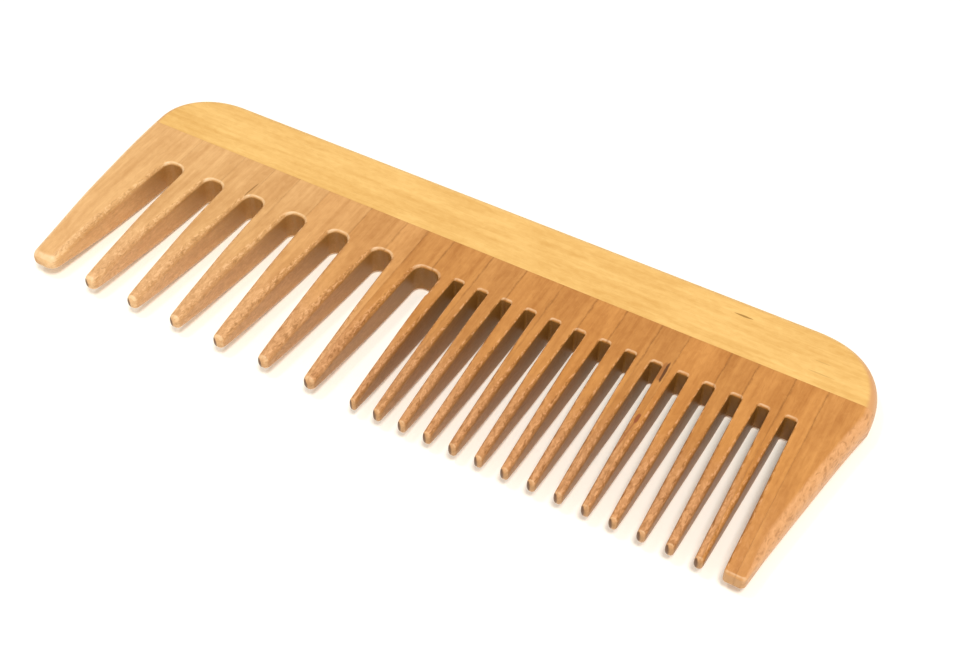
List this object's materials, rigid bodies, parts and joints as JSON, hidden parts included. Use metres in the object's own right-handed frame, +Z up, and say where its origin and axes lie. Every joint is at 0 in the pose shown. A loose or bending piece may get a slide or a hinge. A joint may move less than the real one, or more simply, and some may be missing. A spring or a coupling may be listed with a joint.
{
  "type": "beard comb",
  "caption": "Flat wooden comb with a rounded back: a spine strip glued across edge-glued staves, sawn into wide teeth at one end and narrow teeth at the other.",
  "frame": {"origin": "middle of the comb's length and width, on the face that it lies on", "axes": "+X along the comb from the wide teeth to the narrow teeth, +Y from the tooth tips to the back, +Z up through the thickness"},
  "size_m": [0.1488, 0.053, 0.0062],
  "materials": {
    "spine_wood": "satin",
    "stave_wood": "satin"
  },
  "bodies": {
    "root": {"spine": "spine_wood", "stave_01": "stave_wood", "stave_02": "stave_wood", "stave_03": "stave_wood", "stave_04": "stave_wood", "stave_05": "stave_wood", "stave_06": "stave_wood", "stave_07": "stave_wood", "stave_08": "stave_wood", "stave_09": "stave_wood", "stave_10": "stave_wood", "stave_11": "stave_wood", "stave_12": "stave_wood", "stave_13": "stave_wood", "stave_14": "stave_wood", "stave_15": "stave_wood", "stave_16": "stave_wood", "stave_17": "stave_wood", "stave_18": "stave_wood", "stave_19": "stave_wood", "stave_20": "stave_wood", "stave_21": "stave_wood"}
  },
  "joints": []
}
